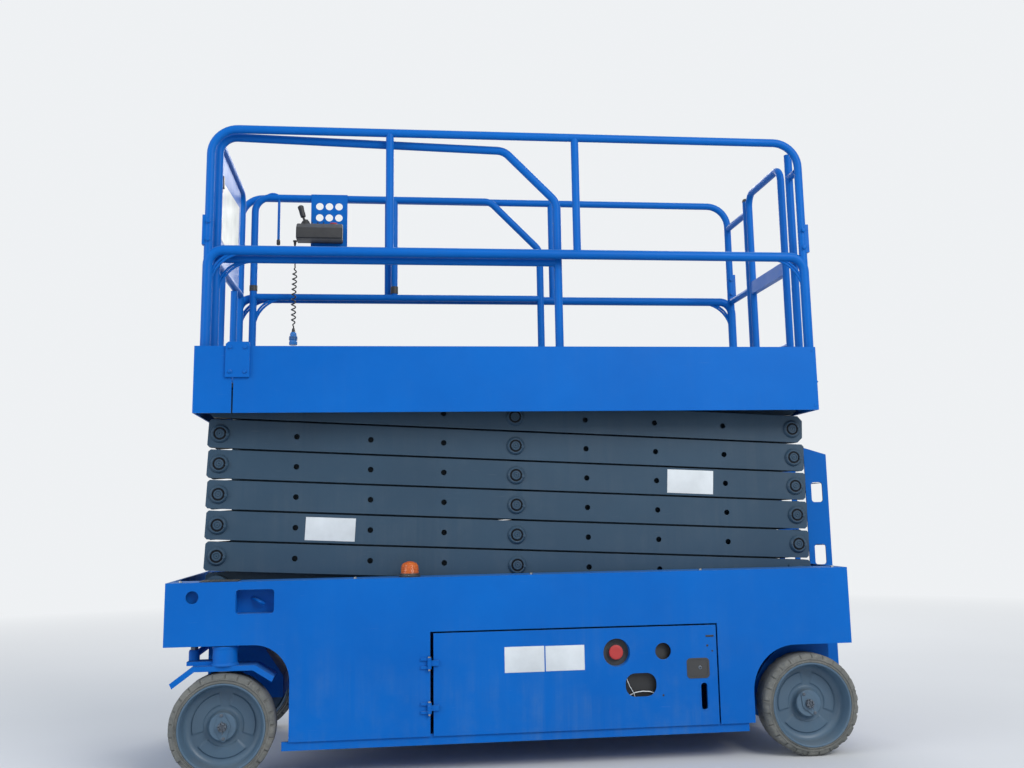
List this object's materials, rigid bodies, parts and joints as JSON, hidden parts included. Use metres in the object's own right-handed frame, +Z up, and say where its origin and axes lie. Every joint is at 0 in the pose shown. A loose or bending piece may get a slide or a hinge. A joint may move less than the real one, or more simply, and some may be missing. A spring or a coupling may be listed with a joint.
{
  "type": "scissor lift",
  "caption": "Self-propelled scissor lift with steered front wheels, stacked crossing arms, a railed platform, a sliding deck extension, rear gate and ladder.",
  "frame": {"origin": "on the ground under the middle of the machine, half way along its overall length with the ladder", "axes": "+Z up, +X towards the ladder and gate at the rear, -X towards the steered wheels, -Y the side with the ground controls"},
  "size_m": [2.7164, 1.194, 2.4989],
  "materials": {
    "body_blue": "semi-gloss blue enamel",
    "arm_paint": "satin dark blue-grey paint",
    "rim_grey": "satin grey paint",
    "tyre": "worn grey non-marking rubber",
    "pin_steel": "turned steel",
    "rod_chrome": "polished",
    "beacon_orange": "clear orange dome",
    "battery_case": "black case",
    "unit_grey": "grey paint",
    "floor_plate": "worn tread plate",
    "control_black": "black moulding",
    "connector_blue": "blue moulding"
  },
  "bodies": {
    "chassis": {"chassis_sides": "body_blue", "chassis_pan": "body_blue", "chassis_ends": "body_blue", "chassis_belly": "body_blue", "bay_walls": "body_blue", "axle_boxes": "body_blue", "axle_stubs": "pin_steel", "pothole_guards": "body_blue", "channel_fittings": "arm_paint", "ladder": "body_blue", "beacon": "beacon_orange", "battery_block": "battery_case", "power_unit": "unit_grey"},
    "near_knuckle": {"near_knuckle": "body_blue"},
    "far_knuckle": {"far_knuckle": "body_blue"},
    "tie_bar": {"tie_bar": "body_blue"},
    "near_front_wheel": {"near_front_tyre": "tyre", "near_front_rim": "rim_grey"},
    "far_front_wheel": {"far_front_tyre": "tyre", "far_front_rim": "rim_grey"},
    "near_rear_wheel": {"near_rear_tyre": "tyre", "near_rear_rim": "rim_grey"},
    "far_rear_wheel": {"far_rear_tyre": "tyre", "far_rear_rim": "rim_grey"},
    "near_door": {"near_door": "body_blue"},
    "far_door": {"far_door": "body_blue"},
    "outer_arms_1": {"outer_arms_1": "arm_paint"},
    "inner_arms_1": {"inner_arms_1": "arm_paint"},
    "outer_arms_2": {"outer_arms_2": "arm_paint"},
    "inner_arms_2": {"inner_arms_2": "arm_paint"},
    "outer_arms_3": {"outer_arms_3": "arm_paint"},
    "inner_arms_3": {"inner_arms_3": "arm_paint"},
    "outer_arms_4": {"outer_arms_4": "arm_paint"},
    "inner_arms_4": {"inner_arms_4": "arm_paint"},
    "outer_arms_5": {"outer_arms_5": "arm_paint"},
    "inner_arms_5": {"inner_arms_5": "arm_paint"},
    "outer_arms_6": {"outer_arms_6": "arm_paint"},
    "inner_arms_6": {"inner_arms_6": "arm_paint"},
    "lower_barrel": {"lower_cylinder_barrel": "unit_grey"},
    "lower_rod": {"lower_cylinder_rod": "rod_chrome"},
    "upper_barrel": {"upper_cylinder_barrel": "unit_grey"},
    "upper_rod": {"upper_cylinder_rod": "rod_chrome"},
    "platform": {"platform_floor": "floor_plate", "platform_frame": "body_blue", "platform_fittings": "arm_paint", "main_rail_near": "body_blue", "main_rail_far": "body_blue", "rear_rails": "body_blue"},
    "gate": {"gate": "body_blue"},
    "extension": {"extension_deck": "body_blue", "extension_rail_near": "body_blue", "extension_rail_far": "body_blue", "front_rails": "body_blue", "control_bracket": "body_blue", "control_box": "control_black", "joystick": "control_black", "curly_cord": "control_black", "cord_connector": "connector_blue"}
  },
  "joints": [
    {"name": "lift", "type": "hinge", "parent": "chassis", "child": "outer_arms_1", "pos_m": [1.12235, 0, 0.677], "axis": [0, 1, 0], "range_deg": [0, 49.6]},
    {"name": "middle_pins_1", "type": "hinge", "parent": "outer_arms_1", "child": "inner_arms_1", "pos_m": [-0.0384, 0, 0.73575], "axis": [0, 1, 0], "range_deg": [-99.22, 0]},
    {"name": "front_pins_2", "type": "hinge", "parent": "outer_arms_1", "child": "inner_arms_2", "pos_m": [-1.19915, 0, 0.7945], "axis": [0, 1, 0], "range_deg": [-99.22, 0]},
    {"name": "middle_pins_2", "type": "hinge", "parent": "inner_arms_2", "child": "outer_arms_2", "pos_m": [-0.0384, 0, 0.85325], "axis": [0, 1, 0], "range_deg": [0, 99.22]},
    {"name": "rear_pins_3", "type": "hinge", "parent": "inner_arms_2", "child": "outer_arms_3", "pos_m": [1.12235, 0, 0.912], "axis": [0, 1, 0], "range_deg": [0, 99.22]},
    {"name": "middle_pins_3", "type": "hinge", "parent": "outer_arms_3", "child": "inner_arms_3", "pos_m": [-0.0384, 0, 0.97075], "axis": [0, 1, 0], "range_deg": [-99.22, 0]},
    {"name": "front_pins_4", "type": "hinge", "parent": "outer_arms_3", "child": "inner_arms_4", "pos_m": [-1.19915, 0, 1.0295], "axis": [0, 1, 0], "range_deg": [-99.22, 0]},
    {"name": "middle_pins_4", "type": "hinge", "parent": "inner_arms_4", "child": "outer_arms_4", "pos_m": [-0.0384, 0, 1.08825], "axis": [0, 1, 0], "range_deg": [0, 99.22]},
    {"name": "rear_pins_5", "type": "hinge", "parent": "inner_arms_4", "child": "outer_arms_5", "pos_m": [1.12235, 0, 1.147], "axis": [0, 1, 0], "range_deg": [0, 99.22]},
    {"name": "middle_pins_5", "type": "hinge", "parent": "outer_arms_5", "child": "inner_arms_5", "pos_m": [-0.0384, 0, 1.20575], "axis": [0, 1, 0], "range_deg": [-99.22, 0]},
    {"name": "front_pins_6", "type": "hinge", "parent": "outer_arms_5", "child": "inner_arms_6", "pos_m": [-1.19915, 0, 1.2645], "axis": [0, 1, 0], "range_deg": [-99.22, 0]},
    {"name": "middle_pins_6", "type": "hinge", "parent": "inner_arms_6", "child": "outer_arms_6", "pos_m": [-0.0384, 0, 1.32325], "axis": [0, 1, 0], "range_deg": [0, 99.22]},
    {"name": "platform_pins", "type": "hinge", "parent": "inner_arms_6", "child": "platform", "pos_m": [1.12235, 0, 1.382], "axis": [0, 1, 0], "range_deg": [0, 49.61]},
    {"name": "lower_cylinder_foot", "type": "hinge", "parent": "inner_arms_1", "child": "lower_barrel", "pos_m": [0.43599, 0, 0.75976], "axis": [0, 1, 0], "range_deg": [0, 107.48]},
    {"name": "lower_cylinder_stroke", "type": "slide", "parent": "lower_barrel", "child": "lower_rod", "axis": [-0.9973, 0, 0.073], "range_m": [0, 0.28299]},
    {"name": "upper_cylinder_foot", "type": "hinge", "parent": "inner_arms_4", "child": "upper_barrel", "pos_m": [0.43599, 0, 1.11226], "axis": [0, 1, 0], "range_deg": [0, 107.48]},
    {"name": "upper_cylinder_stroke", "type": "slide", "parent": "upper_barrel", "child": "upper_rod", "axis": [-0.9973, 0, 0.073], "range_m": [0, 0.28299]},
    {"name": "near_steering", "type": "hinge", "parent": "chassis", "child": "near_knuckle", "pos_m": [-1.14215, -0.5335, 0.43], "axis": [0, 0, 1], "range_deg": [-45, 45]},
    {"name": "near_front_wheel_spin", "type": "hinge", "parent": "near_knuckle", "child": "near_front_wheel", "pos_m": [-1.14215, -0.5335, 0.1905], "axis": [0, 1, 0], "continuous": true},
    {"name": "near_rear_wheel_spin", "type": "hinge", "parent": "chassis", "child": "near_rear_wheel", "pos_m": [1.07785, -0.5335, 0.1905], "axis": [0, 1, 0], "continuous": true},
    {"name": "near_door_hinge", "type": "hinge", "parent": "chassis", "child": "near_door", "pos_m": [-0.39375, -0.589, 0.31], "axis": [0, 0, 1], "range_deg": [-110, 0]},
    {"name": "far_steering", "type": "hinge", "parent": "chassis", "child": "far_knuckle", "pos_m": [-1.14215, 0.5335, 0.43], "axis": [0, 0, 1], "range_deg": [-45, 45]},
    {"name": "far_front_wheel_spin", "type": "hinge", "parent": "far_knuckle", "child": "far_front_wheel", "pos_m": [-1.14215, 0.5335, 0.1905], "axis": [0, 1, 0], "continuous": true},
    {"name": "far_rear_wheel_spin", "type": "hinge", "parent": "chassis", "child": "far_rear_wheel", "pos_m": [1.07785, 0.5335, 0.1905], "axis": [0, 1, 0], "continuous": true},
    {"name": "far_door_hinge", "type": "hinge", "parent": "chassis", "child": "far_door", "pos_m": [-0.39375, 0.589, 0.31], "axis": [0, 0, 1], "range_deg": [0, 110]},
    {"name": "tie_bar_shift", "type": "slide", "parent": "chassis", "child": "tie_bar", "axis": [0, 1, 0], "range_m": [-0.08486, 0.08486]},
    {"name": "deck_extension", "type": "slide", "parent": "platform", "child": "extension", "axis": [-1, 0, 0], "range_m": [0, 0.9]},
    {"name": "gate_hinge", "type": "hinge", "parent": "platform", "child": "gate", "pos_m": [1.18785, -0.29, 2], "axis": [0, 0, 1], "range_deg": [0, 90]}
  ],
  "couplings": [
    {"joint": "middle_pins_1", "follows": "lift", "ratio": -2},
    {"joint": "front_pins_2", "follows": "lift", "ratio": -2},
    {"joint": "middle_pins_2", "follows": "lift", "ratio": 2},
    {"joint": "rear_pins_3", "follows": "lift", "ratio": 2},
    {"joint": "middle_pins_3", "follows": "lift", "ratio": -2},
    {"joint": "front_pins_4", "follows": "lift", "ratio": -2},
    {"joint": "middle_pins_4", "follows": "lift", "ratio": 2},
    {"joint": "rear_pins_5", "follows": "lift", "ratio": 2},
    {"joint": "middle_pins_5", "follows": "lift", "ratio": -2},
    {"joint": "front_pins_6", "follows": "lift", "ratio": -2},
    {"joint": "middle_pins_6", "follows": "lift", "ratio": 2},
    {"joint": "platform_pins", "follows": "lift", "ratio": 1},
    {"joint": "lower_cylinder_foot", "follows": "lift", "ratio": 2.1667},
    {"joint": "lower_cylinder_stroke", "follows": "lift", "m_per_rad": 0.32687},
    {"joint": "upper_cylinder_foot", "follows": "lift", "ratio": 2.1667},
    {"joint": "upper_cylinder_stroke", "follows": "lift", "m_per_rad": 0.32687},
    {"joint": "far_steering", "follows": "near_steering", "ratio": 1},
    {"joint": "tie_bar_shift", "follows": "near_steering", "m_per_rad": -0.10804}
  ]
}
